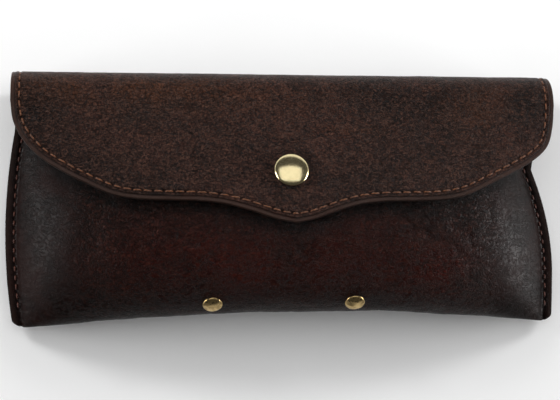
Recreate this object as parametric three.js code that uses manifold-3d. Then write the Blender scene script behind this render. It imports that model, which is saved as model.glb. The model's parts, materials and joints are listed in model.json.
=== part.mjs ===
// A soft leather pouch for glasses: a body folded from one strip of leather and sewn flat at both
// sides, and a two-layer flap that folds over the mouth and closes with a snap.
//
// The pouch lies on its back. X runs along the top fold, Y from the bottom of the pouch towards
// that fold, and Z up out of the back. Z = 0 is the underside of the back. Millimetres.

import * as THREE from "three";
import { mergeVertices } from "three/addons/utils/BufferGeometryUtils.js";
import Module from "manifold-3d";

const wasm = await Module();
wasm.setup();

// ---- Driving dimensions ----

const LEATHER = 1.4; // thickness of the outer leather
const LINING = 0.8; // thickness of the lining
const GAP = 0.3; // air between two pieces
const LAYER_GAP = 0.45; // air between the leather and its lining
const CLEAR = 0.15; // air under a metal cap or washer

// Body: the outer leather's faces
const BODY_THICK = 32.6; // over the middle of the bulge
const FLANGE_THICK = 2 * LEATHER + GAP; // front and back together where they are sewn
const FLANGE_LIFT = 3; // how far the side seams rise off the surface that the back lies on
const FLANGE_FROM = 0.96; // share of the half width where the flat sewn edge starts
const BULGE_Y = -12; // the front is highest here
const BACK_FLAT_Y = -20; // the back is flat from here up
const BOTTOM_Y = -37.2; // bottom fold, in the middle
// The bottom fold droops towards its corners: from and to these distances from the middle, by drop
const DROOP_LEFT = { from: 10, to: 85, drop: 5.6, power: 1.4 };
const DROOP_RIGHT = { from: 30, to: 90, drop: 4.3, power: 1.3 };
const CORNER_RISE = 1.8; // how far the rounding of a bottom corner lifts its very end
const MOUTH_Y = 24; // the front's top edge
const FRONT_FALL = 0.0116; // how fast the front falls away towards the mouth, 1/mm

// Top fold and flap: the outer leather's faces
const FOLD_R = 10.5; // radius of the top fold
const FOLD_Y = 30.5; // its centre
const FLAP_HALF = 89; // half width at the fold
const FLAP_SLOPE = 0.5; // of the flap as it leaves the fold, in the middle
const FLAP_TIP = [-7.7, 37.5]; // Y and Z of the tip
const TIP_LEAN = 1.2; // how far the tip sits right of the middle
const TIP_SPREAD = 20;
const RIGHT_FULL = 2; // how much fuller the flap's right shoulder is than its left one
const SHOULDER_Y = 16;
const SHOULDER_SPREAD = 6;
const FLAP_DROOP = 0.6; // share of its rise that the flap loses towards its ends
const HINGE_LOW = THREE.MathUtils.degToRad(-45); // where the fold bends against the back
const HINGE_HIGH = THREE.MathUtils.degToRad(31.7); // where the flap bends against the spine
const HINGE_GAP = THREE.MathUtils.degToRad(1); // half of each split, along the fold

// Thread
const THREAD_R = 0.35;
const SEAM_IN = 2.8; // distance of every seam from the edge
const THREAD_LIFT = THREAD_R + 0.2; // the thread's centre above the leather

// Hardware
const SNAP_Y = 8.8;
const SNAP_CAP_R = 5.5;
const RIVET_X = [-24.3, 21.7];
const RIVET_CAP_R = 3.25;
const RIVET_ANGLE = THREE.MathUtils.degToRad(32); // up the bottom curve from its lowest edge
const STAY_HALF = 33; // half length of the strip that the rivets hold

const COLOURS = {
  leather: { color: 0x3d2b27, roughness: 0.6, metalness: 0 },
  lining: { color: 0x5a4334, roughness: 0.9, metalness: 0 },
  thread: { color: 0x8c5532, roughness: 0.8, metalness: 0 },
  pale_brass: { color: 0xd8c48e, roughness: 0.25, metalness: 1 },
  aged_brass: { color: 0x9a8050, roughness: 0.4, metalness: 1 },
};

// ---- Small helpers ----

const lerp = THREE.MathUtils.lerp;
const smooth = (v) => THREE.MathUtils.smoothstep(v, 0, 1);

// A piece whose outer and inner faces are two grids of the same size, closed by walls all round.
function shell(outer, inner) {
  const rows = outer.length;
  const columns = outer[0].length;
  const points = [...outer.flat(), ...inner.flat()];
  const half = rows * columns;
  const index = [];
  const quad = (a, b, c, d) => index.push(a, b, c, a, c, d);
  for (let i = 0; i < rows - 1; i++) {
    for (let j = 0; j < columns - 1; j++) {
      const a = i * columns + j;
      quad(a, a + columns, a + columns + 1, a + 1);
      quad(a + half, a + half + 1, a + half + columns + 1, a + half + columns);
    }
  }
  for (let i = 0; i < rows - 1; i++) {
    const a = i * columns;
    const b = a + columns - 1;
    quad(a, a + half, a + half + columns, a + columns);
    quad(b, b + columns, b + columns + half, b + half);
  }
  const last = (rows - 1) * columns;
  for (let j = 0; j < columns - 1; j++) {
    quad(j, j + 1, j + 1 + half, j + half);
    quad(last + j, last + j + half, last + j + 1 + half, last + j + 1);
  }
  const geometry = new THREE.BufferGeometry().setFromPoints(points);
  geometry.setIndex(index);
  return solidOf(geometry);
}

// A closed geometry as a solid whose faces point out, whichever way its grid ran.
function solidOf(geometry) {
  const bare = geometry.clone();
  bare.deleteAttribute("normal");
  bare.deleteAttribute("uv");
  const merged = mergeVertices(bare, 1e-4);
  const vertProperties = merged.attributes.position.array;
  const triVerts = new Uint32Array(merged.index.array);
  const made = new wasm.Manifold(new wasm.Mesh({ numProp: 3, vertProperties, triVerts }));
  if (made.volume() > 0) {
    return made;
  }
  const turned = triVerts.slice();
  for (let i = 0; i < turned.length; i += 3) {
    turned[i] = triVerts[i + 1];
    turned[i + 1] = triVerts[i];
  }
  return new wasm.Manifold(new wasm.Mesh({ numProp: 3, vertProperties, triVerts: turned }));
}

function geometryOf(solid) {
  const mesh = solid.getMesh();
  const geometry = new THREE.BufferGeometry();
  geometry.setAttribute("position", new THREE.BufferAttribute(mesh.vertProperties, 3));
  geometry.setIndex(new THREE.BufferAttribute(mesh.triVerts, 1));
  geometry.computeVertexNormals();
  return geometry;
}

function grid(columns, rows, point) {
  const made = [];
  for (let i = 0; i <= columns; i++) {
    const line = [];
    for (let j = 0; j <= rows; j++) {
      line.push(point(i / columns, j / rows));
    }
    made.push(line);
  }
  return made;
}

// A round thread along a list of points.
function thread(points, steps) {
  const section = new THREE.Shape();
  const sides = 6;
  for (let i = 0; i < sides; i++) {
    const turn = (i * 2 * Math.PI) / sides;
    const corner = [THREAD_R * Math.cos(turn), THREAD_R * Math.sin(turn)];
    if (i === 0) {
      section.moveTo(...corner);
    } else {
      section.lineTo(...corner);
    }
  }
  const extrudePath = new THREE.CatmullRomCurve3(points, false, "centripetal");
  return new THREE.ExtrudeGeometry(section, { steps, extrudePath, bevelEnabled: false });
}

// A turned piece: radius and height pairs, from axis to axis, or a closed ring's outline.
function turned(profile, sides) {
  return new THREE.LatheGeometry(
    profile.map(([r, h]) => new THREE.Vector2(r, h)),
    sides,
  );
}

// ---- The body's surface ----

// Half width of the body at Y, to the left (side -1) or the right (side 1). The left side is bowed
// and the right one leans in towards the mouth. Both meet the fold at its own half width.
function halfWidth(y, side) {
  const bowed = 91.4 - 2.2 * ((y + 12) / 29) ** 2;
  const leaning = 93 - 0.0059 * Math.max(0, Math.min(y, 10) + 26) ** 2;
  const reach = side < 0 ? bowed : leaning;
  const meets = side < 0 ? smooth((y - 20) / 10) : smooth((y - 8) / 20);
  return lerp(reach, FLAP_HALF, meets);
}

// 0 on the sewn edge, 1 in the middle, for u from -1 to 1 across the body
function fullness(u) {
  const across = Math.min(1, Math.abs(u) / FLANGE_FROM);
  return (1 - across ** 3) ** 0.75;
}

const thickness = (u) => lerp(FLANGE_THICK, BODY_THICK, fullness(u));

// The underside is flat in the middle and rises to the sewn sides
function backLift(u) {
  const flatTo = 0.9;
  return FLANGE_LIFT * Math.max(0, 1 - fullness(u) / flatTo) ** 2;
}

function bottomY(u) {
  const x = Math.abs(u) * halfWidth(BOTTOM_Y, Math.sign(u));
  const { from, to, drop, power } = u < 0 ? DROOP_LEFT : DROOP_RIGHT;
  const along = THREE.MathUtils.clamp((x - from) / (to - from), 0, 1);
  const round = Math.max(0, Math.abs(u) - FLANGE_FROM) / (1 - FLANGE_FROM);
  return BOTTOM_Y - drop * along ** power + CORNER_RISE * round ** 2;
}

const bodyPoint = (u, y, z) => new THREE.Vector3(u * halfWidth(y, Math.sign(u)), y, z);

// The front at u, from the bottom fold (v = 0) up to the mouth (v = 1), depth inside the outer face
function frontPoint(u, v, depth) {
  const half = thickness(u) / 2;
  const middle = backLift(u) + half;
  const turnEnds = 0.45;
  if (v < turnEnds) {
    const turn = (v / turnEnds) * (Math.PI / 2);
    const y = BULGE_Y - (BULGE_Y - bottomY(u) - depth) * Math.cos(turn);
    const z = middle + GAP / 2 + (half - GAP / 2 - depth) * Math.sin(turn);
    return bodyPoint(u, y, z);
  }
  const y = lerp(BULGE_Y, MOUTH_Y, (v - turnEnds) / (1 - turnEnds));
  const fall = fullness(u) * FRONT_FALL * (y - BULGE_Y) ** 2;
  return bodyPoint(u, y, middle + half - depth - fall);
}

// The back at u, from the bottom fold (v = 0) up to the start of the top fold (v = 1)
function backPoint(u, v, depth) {
  const half = thickness(u) / 2;
  const middle = backLift(u) + half;
  const turnEnds = 0.3;
  if (v < turnEnds) {
    const turn = (v / turnEnds) * (Math.PI / 2);
    const y = BACK_FLAT_Y - (BACK_FLAT_Y - bottomY(u) - depth) * Math.cos(turn);
    const z = middle - GAP / 2 - (half - GAP / 2 - depth) * Math.sin(turn);
    return bodyPoint(u, y, z);
  }
  const along = (v - turnEnds) / (1 - turnEnds);
  const y = lerp(BACK_FLAT_Y, FOLD_Y, along);
  const settle = smooth((y - MOUTH_Y) / (FOLD_Y - MOUTH_Y));
  return bodyPoint(u, y, lerp(backLift(u), 0, settle) + depth);
}

// ---- The top fold and the flap ----

function foldPoint(x, angle, depth) {
  const r = FOLD_R - depth;
  return new THREE.Vector3(x, FOLD_Y + r * Math.cos(angle), FOLD_R + r * Math.sin(angle));
}

const flapRise = (x) => 1 - FLAP_DROOP * (x / FLAP_HALF) ** 2;
const foldEnd = (x) => Math.PI / 2 - Math.atan(FLAP_SLOPE * flapRise(x));

// The flap's outer face in a plane across it at x: a curve from the end of the fold to the tip
function flapCurve(x) {
  const start = foldPoint(x, foldEnd(x), 0);
  const slope = FLAP_SLOPE * flapRise(x);
  const low = lerp(20, FLAP_TIP[1], flapRise(x));
  const reach = 11.2;
  const ease = 13;
  return new THREE.CubicBezierCurve(
    new THREE.Vector2(start.y, start.z),
    new THREE.Vector2(start.y - reach, start.z + reach * slope),
    new THREE.Vector2(FLAP_TIP[0] + ease, low - 0.1 * ease * flapRise(x)),
    new THREE.Vector2(FLAP_TIP[0], low),
  );
}

// The point of the flap over (x, y), and the way out of the leather there
function flapAt(x, y) {
  const curve = flapCurve(x);
  let low = 0;
  let high = 1;
  for (let i = 0; i < 24; i++) {
    const t = (low + high) / 2;
    if (curve.getPoint(t).y > 0 && curve.getPoint(t).x > y) {
      low = t;
    } else {
      high = t;
    }
  }
  const point = curve.getPoint(low);
  const along = curve.getTangent(low);
  const normal = new THREE.Vector3(0, along.y, -along.x).normalize();
  return { point: new THREE.Vector3(x, point.x, point.y), normal };
}

function flapPoint(x, y, depth) {
  const { point, normal } = flapAt(x, y);
  return point.addScaledVector(normal, -depth);
}

// The flap's outline from its right end round the tip: a shallow point in the middle, nearly
// straight runs, and round shoulders up to the fold.
const OUTLINE = new THREE.CatmullRomCurve3(
  [
    [88.9, 31],
    [87.9, 24.5],
    [84.8, 18.5],
    [79.5, 13],
    [72.8, 8.7],
    [65, 4.8],
    [57, 1.3],
    [49, -0.2],
    [38, -0.6],
    [29, -0.8],
    [21, -1.8],
    [13.5, -3.9],
    [6.5, -6.3],
    [0, FLAP_TIP[0]],
  ].map(([x, y]) => new THREE.Vector3(x, y, 0)),
  false,
  "centripetal",
);

// u from -1 (left) to 1 (right) along the outline, pulled in by a margin
function outlinePoint(u, margin) {
  const t = 1 - Math.abs(u);
  const point = OUTLINE.getPointAt(t);
  const along = OUTLINE.getTangentAt(t);
  const inward = new THREE.Vector2(along.y, -along.x);
  const x = Math.sign(u || 1) * Math.max(0, point.x + margin * inward.x);
  const lean = TIP_LEAN * Math.exp(-((x / TIP_SPREAD) ** 2));
  const full = u > 0 ? RIGHT_FULL * Math.exp(-(((point.y - SHOULDER_Y) / SHOULDER_SPREAD) ** 2)) : 0;
  return new THREE.Vector2(x + lean + full, point.y + margin * inward.y);
}

// u across the flap, v from the fold (0) to the edge (1)
function flapGridPoint(u, v, depth, margin) {
  const edge = outlinePoint(u, margin);
  const x = u * (FLAP_HALF - margin);
  const top = foldPoint(x, foldEnd(x), depth);
  const bend = 0.2;
  if (v < bend) {
    const angle = lerp(HINGE_HIGH + HINGE_GAP, foldEnd(x), v / bend);
    return foldPoint(x, angle, depth);
  }
  const along = (v - bend) / (1 - bend);
  const startY = foldPoint(x, foldEnd(x), 0).y;
  if (along === 0) {
    return top;
  }
  return flapPoint(lerp(x, edge.x, along), lerp(startY, edge.y, along), depth);
}

// ---- Leather and lining ----

// Columns across a piece: one at each end on the flat edge, and the rest closer together near it
function spread(share, columns, half = 1) {
  const column = Math.round(share * columns);
  if (column === 0 || column === columns) {
    return half * Math.sign(column - 1);
  }
  const even = (2 * (column - 1)) / (columns - 2) - 1;
  return half * FLANGE_FROM * lerp(even, Math.sin((even * Math.PI) / 2), 0.6);
}

const LINING_TOP = LEATHER + LAYER_GAP;
const LINING_END = LINING_TOP + LINING;
const LINING_U = 0.93; // the lining stops short of the sewn edge
const FLAP_LINING_IN = 1; // and short of the flap's cut edge

function wrapped(point, columns, rows, from, to, half = 1) {
  const face = (depth) => grid(columns, rows, (i, j) => point(spread(i, columns, half), j, depth));
  return shell(face(from), face(to));
}

function backWithLip(u, v, depth) {
  const bend = 0.85;
  if (v <= bend) {
    return backPoint(u, v / bend, depth);
  }
  const angle = lerp(-Math.PI / 2, HINGE_LOW - HINGE_GAP, (v - bend) / (1 - bend));
  return foldPoint(u * FLAP_HALF, angle, depth);
}

function spinePoint(u, v, depth) {
  return foldPoint(u * FLAP_HALF, lerp(HINGE_LOW + HINGE_GAP, HINGE_HIGH - HINGE_GAP, v), depth);
}

// ---- Hardware frames ----

// A frame whose Y axis points out of the surface, so that turned pieces stand on it
function standOn(point, normal) {
  const frame = new THREE.Group();
  frame.position.copy(point);
  frame.quaternion.setFromUnitVectors(new THREE.Vector3(0, 1, 0), normal);
  frame.updateMatrixWorld(true);
  return frame;
}

const snapSeat = flapAt(0, SNAP_Y);
const snapFrame = standOn(snapSeat.point, snapSeat.normal);

// Distance from the flap's outer face down the snap's axis to the front
function frontBelowSnap() {
  const slide = snapSeat.point.clone();
  const step = 0.01;
  let depth = 0;
  while (slide.z > BODY_THICK - FRONT_FALL * (slide.y - BULGE_Y) ** 2) {
    slide.addScaledVector(snapSeat.normal, -step);
    depth += step;
  }
  return depth;
}

const FRONT_DEPTH = frontBelowSnap();

function rivetFrame(x) {
  const turn = RIVET_ANGLE;
  const u = x / halfWidth(BOTTOM_Y, Math.sign(x));
  const v = (turn / (Math.PI / 2)) * 0.45;
  const point = frontPoint(u, v, 0);
  const nearby = 1e-3;
  const alongV = frontPoint(u, v + nearby, 0).sub(point);
  const alongU = frontPoint(u + nearby, v, 0).sub(point);
  const normal = alongU.cross(alongV).normalize();
  return standOn(point, normal);
}

// A round hole through whatever it is taken from, along a frame's Y axis
function hole(frame, radius, from, to) {
  const cylinder = new THREE.CylinderGeometry(radius, radius, to - from, 24);
  cylinder.translate(0, (from + to) / 2, 0);
  return solidOf(cylinder.applyMatrix4(frame.matrixWorld));
}

// ---- Assembly ----

const pouch = new THREE.Group();

function add(name, geometry, look, frame = null) {
  const material = new THREE.MeshStandardMaterial(COLOURS[look]);
  const mesh = new THREE.Mesh(geometry, material);
  mesh.name = name;
  (frame || pouch).add(mesh);
  if (frame) {
    pouch.add(frame);
  }
}

const rivetFrames = RIVET_X.map(rivetFrame);
const RIVET_SHANK_R = 1.1;
const rivetHoles = rivetFrames.map((frame) => hole(frame, RIVET_SHANK_R + GAP, -8, 4));
const SNAP_BARREL_R = 1.5;
const snapHole = hole(snapFrame, SNAP_BARREL_R + GAP, -12, 4);

function bodyPanels() {
  add("back_panel", geometryOf(wrapped(backWithLip, 32, 14, 0, LEATHER)), "leather");
  let front = wrapped(frontPoint, 36, 15, 0, LEATHER).subtract(snapHole);
  let lining = wrapped(frontPoint, 32, 13, LINING_TOP, LINING_END, LINING_U).subtract(snapHole);
  for (const cut of rivetHoles) {
    front = front.subtract(cut);
    lining = lining.subtract(cut);
  }
  add("front_panel", geometryOf(front), "leather");
  add("front_lining", geometryOf(lining), "lining");
  const backLining = wrapped(backPoint, 26, 11, LINING_TOP, LINING_END, LINING_U);
  add("back_lining", geometryOf(backLining), "lining");
}

// The strip inside the bottom fold that the two rivets hold
function bottomStay() {
  const halfU = STAY_HALF / halfWidth(BOTTOM_Y, 1);
  const from = LINING_END + LAYER_GAP;
  const strip = (u, v, depth) => frontPoint(u, v * 0.24, depth);
  let stay = wrapped(strip, 10, 8, from, from + LEATHER, halfU);
  for (const cut of rivetHoles) {
    stay = stay.subtract(cut);
  }
  add("bottom_stay", geometryOf(stay), "leather");
}

function spine() {
  add("spine_leather", geometryOf(wrapped(spinePoint, 8, 8, 0, LEATHER)), "leather");
  const half = 1 - FLAP_LINING_IN / FLAP_HALF;
  const lining = wrapped(spinePoint, 8, 8, LINING_TOP, LINING_END, half);
  add("spine_lining", geometryOf(lining), "lining");
}

function flap() {
  const layer = (margin) => (u, v, depth) => flapGridPoint(u, v, depth, margin);
  const leather = wrapped(layer(0), 40, 10, 0, LEATHER).subtract(snapHole);
  add("flap_leather", geometryOf(leather), "leather");
  const lining = wrapped(layer(FLAP_LINING_IN), 30, 9, LINING_TOP, LINING_END).subtract(snapHole);
  add("flap_lining", geometryOf(lining), "lining");
}

function seams() {
  for (const [name, side] of [["left", -1], ["right", 1]]) {
    const body = [];
    const count = 12;
    for (let i = 0; i <= count; i++) {
      const y = lerp(MOUTH_Y - 1, BOTTOM_Y - 0.5, i / count);
      const x = side * (halfWidth(y, side) - SEAM_IN);
      body.push(new THREE.Vector3(x, y, FLANGE_LIFT + FLANGE_THICK + THREAD_LIFT));
    }
    add("seam_thread_" + name, thread(body, 24), "thread");
    const fold = [];
    for (let i = 0; i <= 6; i++) {
      const x = side * (FLAP_HALF - SEAM_IN);
      fold.push(foldPoint(x, lerp(HINGE_LOW + 0.06, HINGE_HIGH - 0.06, i / 6), -THREAD_LIFT));
    }
    add("spine_thread_" + name, thread(fold, 10), "thread");
  }
  const flapRun = [];
  const count = 48;
  for (let i = 0; i <= count; i++) {
    const at = outlinePoint((2 * i) / count - 1, SEAM_IN);
    flapRun.push(flapPoint(at.x, at.y, -THREAD_LIFT));
  }
  add("flap_thread", thread(flapRun, 76), "thread");
}

// Heights in the snap run up from the flap's outer face, and those of its lower half from the
// front's outer face, which lies FRONT_DEPTH under it.
function snap() {
  const capProfile = [
    [0, -(LINING_END + CLEAR)],
    [SNAP_BARREL_R, -(LINING_END + CLEAR)],
    [SNAP_BARREL_R, CLEAR],
    [SNAP_CAP_R - 0.3, CLEAR],
    [SNAP_CAP_R, 0.5],
    [SNAP_CAP_R - 0.15, 1],
    [SNAP_CAP_R - 0.7, 1.3],
    [SNAP_CAP_R - 1.6, 1.65],
    [SNAP_CAP_R - 3.5, 2.15],
    [0, 2.4],
  ];
  add("snap_cap", turned(capProfile, 32), "pale_brass", snapFrame);
  const roof = -(LINING_END + CLEAR);
  const floor = -(FRONT_DEPTH - 0.8);
  const socketProfile = [
    [SNAP_BARREL_R + GAP, roof],
    [SNAP_BARREL_R + GAP, roof - 0.35],
    [3.4, roof - 0.35],
    [3.4, floor],
    [4.9, floor],
    [4.9, roof],
    [SNAP_BARREL_R + GAP, roof],
  ];
  const socketFrame = standOn(snapSeat.point, snapSeat.normal);
  add("snap_socket", turned(socketProfile, 28), "aged_brass", socketFrame);
  const springFrame = standOn(
    snapSeat.point.clone().addScaledVector(snapSeat.normal, (floor + roof) / 2 - 0.1),
    snapSeat.normal,
  );
  add("snap_spring", springRing(), "pale_brass", springFrame);
  const studFrame = standOn(
    snapSeat.point.clone().addScaledVector(snapSeat.normal, -FRONT_DEPTH),
    snapSeat.normal,
  );
  const studProfile = [
    [1.4, CLEAR],
    [4, CLEAR],
    [4, 0.55],
    [1.9, 0.6],
    [1.8, 1],
    [2, 1.35],
    [1.5, 1.65],
    [0, 1.7],
    [0, 1.35],
    [1.4, 1.3],
    [1.4, CLEAR],
  ];
  add("snap_stud", turned(studProfile, 24), "pale_brass", studFrame);
  const postFrame = standOn(studFrame.position, snapSeat.normal);
  const seat = -(LINING_END + CLEAR);
  const postProfile = [
    [0, seat - 0.5],
    [4, seat - 0.5],
    [4, seat],
    [1.1, seat],
    [1.1, 0.9],
    [0, 0.9],
  ];
  add("snap_post", turned(postProfile, 24), "aged_brass", postFrame);
}

// The split wire ring that grips the stud
function springRing() {
  const wire = 0.22;
  const ringR = 2.95;
  const opening = 0.35;
  const section = new THREE.Shape().absarc(0, 0, wire, 0, 2 * Math.PI);
  const points = [];
  const count = 24;
  for (let i = 0; i <= count; i++) {
    const turn = lerp(opening, 2 * Math.PI - opening, i / count);
    points.push(new THREE.Vector3(ringR * Math.cos(turn), 0, ringR * Math.sin(turn)));
  }
  const extrudePath = new THREE.CatmullRomCurve3(points);
  return new THREE.ExtrudeGeometry(section, {
    steps: 28,
    curveSegments: 3,
    extrudePath,
    bevelEnabled: false,
  });
}

function rivets() {
  const capProfile = [
    [0, CLEAR],
    [RIVET_CAP_R - 0.2, CLEAR],
    [RIVET_CAP_R, 0.45],
    [RIVET_CAP_R - 0.5, 0.95],
    [RIVET_CAP_R - 1.5, 1.35],
    [0, 1.55],
  ];
  const hollow = 0.45; // a flat washer bridges the inside of the bottom curve
  const seat = -(LINING_END + LAYER_GAP + LEATHER + CLEAR + hollow);
  const postProfile = [
    [0, seat - 0.6],
    [RIVET_CAP_R - 0.4, seat - 0.6],
    [RIVET_CAP_R - 0.4, seat],
    [RIVET_SHANK_R, seat],
    [RIVET_SHANK_R, -CLEAR],
    [0, -CLEAR],
  ];
  rivetFrames.forEach((frame, i) => {
    const name = ["left", "right"][i];
    add("rivet_cap_" + name, turned(capProfile, 24), "aged_brass", frame);
    add("rivet_post_" + name, turned(postProfile, 20), "aged_brass", frame);
  });
}

bodyPanels();
bottomStay();
spine();
flap();
seams();
snap();
rivets();

// The origin is under the middle of the whole pouch
const whole = new THREE.Box3().setFromObject(pouch);
const middle = whole.getCenter(new THREE.Vector3());
pouch.position.set(-middle.x, -middle.y, 0);

export default pouch;
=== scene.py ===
# A soft leather pouch for glasses, lying on its back. The shapes are worked out here in
# millimetres, in the part's own frame before it was centred, and made in metres.
import json
import math

import bmesh
import bpy
import numpy as np
from mathutils import Matrix, Vector


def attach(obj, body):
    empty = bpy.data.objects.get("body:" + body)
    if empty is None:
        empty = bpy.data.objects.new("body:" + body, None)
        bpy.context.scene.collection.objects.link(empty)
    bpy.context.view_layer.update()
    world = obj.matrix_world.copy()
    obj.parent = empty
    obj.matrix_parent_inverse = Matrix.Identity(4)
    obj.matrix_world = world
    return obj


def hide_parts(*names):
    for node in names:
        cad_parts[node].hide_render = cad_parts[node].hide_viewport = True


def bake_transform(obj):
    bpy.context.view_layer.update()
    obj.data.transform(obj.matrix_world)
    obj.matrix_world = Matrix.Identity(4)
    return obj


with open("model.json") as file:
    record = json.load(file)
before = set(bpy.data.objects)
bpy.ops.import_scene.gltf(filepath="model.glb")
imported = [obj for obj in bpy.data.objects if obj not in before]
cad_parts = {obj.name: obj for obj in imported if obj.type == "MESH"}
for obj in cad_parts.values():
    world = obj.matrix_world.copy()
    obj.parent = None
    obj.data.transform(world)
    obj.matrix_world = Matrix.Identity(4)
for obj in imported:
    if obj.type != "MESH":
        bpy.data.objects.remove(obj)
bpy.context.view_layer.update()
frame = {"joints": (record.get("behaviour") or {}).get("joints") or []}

MM = 0.001
HINGES = {joint["name"]: np.array(joint["pos_m"]) / MM for joint in frame["joints"]}

# ---- The pouch's own dimensions, as its design states them ----

LEATHER = 1.5
LINING = 0.85
BODY_THICK = 32.6
FLANGE_THICK = 3.1
FLANGE_LIFT = 3.0
FLANGE_FROM = 0.96
BULGE_Y = -12.0
BACK_FLAT_Y = -20.0
BOTTOM_Y = -37.2
DROOP_LEFT = (10.0, 85.0, 5.6, 1.4)
DROOP_RIGHT = (30.0, 90.0, 4.3, 1.3)
CORNER_RISE = 1.8
LEFT_HALF, LEFT_BOW = 91.4, 2.2
RIGHT_HALF, RIGHT_LEAN = 93, 0.0059
MOUTH_Y = 24.0
FRONT_FALL = 0.0116
FOLD_R = 10.5
FOLD_Y = 30.5
FLAP_HALF = 89.0
FLAP_SLOPE = 0.5
FLAP_TIP = (-7.7, 37.5)
TIP_LEAN = 1.2
RIGHT_FULL = 2.0
SHOULDER_Y = 16.0
FLAP_DROOP = 0.6
TIP_SPREAD = 20.0
SHOULDER_SPREAD = 6.0
HINGE_LOW = math.radians(-45)
SPLIT = math.radians(-7)  # the leather is two pieces, which meet on the fold's outside here
OUTLINE = (
    (88.9, 31), (87.9, 24.5), (84.8, 18.5), (79.5, 13), (72.8, 8.7), (65, 4.8), (57, 1.3),
    (49, -0.2), (38, -0.6), (29, -0.8), (21, -1.8), (13.5, -3.9), (6.5, -6.3), (0, FLAP_TIP[0]),
)

SEAM_IN = 2.8
STITCH_SINK = 0.12  # how far a stitch's middle lies under the leather's face
BODY_HALF = 91.0  # the body's half width, near enough to turn u into a distance from the edge
STAY_HALF = 33.0
BOTTOM_HALF = 92.0  # the same at the bottom, where the stay lies
SNAP_Y = 8.8
RIVET_X = (-24.3, 21.7)
RIVET_TURN = math.radians(32)

# The design is centred on its own box, so its places move by this much
SHIFT = HINGES["flap_fold"] - np.array(
    (0, FOLD_Y + FOLD_R * math.cos(HINGE_LOW), FOLD_R + FOLD_R * math.sin(HINGE_LOW))
)


# ---- Numbers ----

def smooth(v):
    v = np.clip(v, 0, 1)
    return v * v * (3 - 2 * v)


def lerp(a, b, t):
    return a + (b - a) * t


def bump(distance, width):
    """1 at no distance, falling away smoothly over about twice the width."""
    return np.exp(-((distance / width) ** 2))


def noise(points, size, seed):
    """Smooth noise from -1 to 1 at points (N, 3), one bump about every size millimetres."""
    lattice = np.random.default_rng(seed).uniform(-1, 1, (32, 32, 32))
    p = points / size
    low = np.floor(p).astype(int)
    f = p - low
    f = f * f * (3 - 2 * f)
    low %= 32
    high = (low + 1) % 32
    x0, y0, z0 = low.T
    x1, y1, z1 = high.T
    fx, fy, fz = f.T
    near = lerp(lerp(lattice[x0, y0, z0], lattice[x1, y0, z0], fx),
                lerp(lattice[x0, y1, z0], lattice[x1, y1, z0], fx), fy)
    far = lerp(lerp(lattice[x0, y0, z1], lattice[x1, y0, z1], fx),
               lerp(lattice[x0, y1, z1], lattice[x1, y1, z1], fx), fy)
    return lerp(near, far, fz)


def layered(points, size, seed, layers=3):
    """Noise with finer noise on it."""
    total = sum(noise(points, size / 2**i, seed + i) / 2**i for i in range(layers))
    return total / sum(1 / 2**i for i in range(layers))


def creases(points, size, seed):
    """0 almost everywhere and -1 along winding lines about size millimetres apart."""
    warped = points + 0.35 * size * np.stack(
        [noise(points, size * 0.8, seed + 10 + i) for i in range(3)], axis=1
    )
    return -bump(noise(warped, size, seed), 0.16)


# ---- The body's surface: u is -1 to 1 across, q is 0 to 1 from the mouth round to the fold ----

def half_width(y, left):
    bowed = LEFT_HALF - LEFT_BOW * ((y + 12) / 29) ** 2
    leaning = RIGHT_HALF - RIGHT_LEAN * np.maximum(0, np.minimum(y, 10) + 26) ** 2
    return np.where(
        left,
        lerp(bowed, FLAP_HALF, smooth((y - 20) / 10)),
        lerp(leaning, FLAP_HALF, smooth((y - 8) / 20)),
    )


def fullness(u):
    return (1 - np.minimum(1, np.abs(u) / FLANGE_FROM) ** 3) ** 0.75


def back_lift(u):
    return FLANGE_LIFT * np.maximum(0, 1 - fullness(u) / 0.9) ** 2


def bottom_y(u):
    x = np.abs(u) * half_width(BOTTOM_Y, u < 0)
    start, end, drop, power = np.where(u[..., None] < 0, DROOP_LEFT, DROOP_RIGHT).T
    along = np.clip((x - start) / (end - start), 0, 1)
    corner = np.maximum(0, np.abs(u) - FLANGE_FROM) / (1 - FLANGE_FROM)
    return BOTTOM_Y - drop * along**power + CORNER_RISE * corner**2


# Shares of q where the front, its bottom curve, the back's bottom curve and the back end
Q_FRONT, Q_BOTTOM, Q_BACK, Q_FLAT = 0.27, 0.46, 0.60, 0.9
Q_LIP, LIP = 0.004, 0.6  # the mouth's rounded lip, as a share of q and in millimetres


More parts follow.
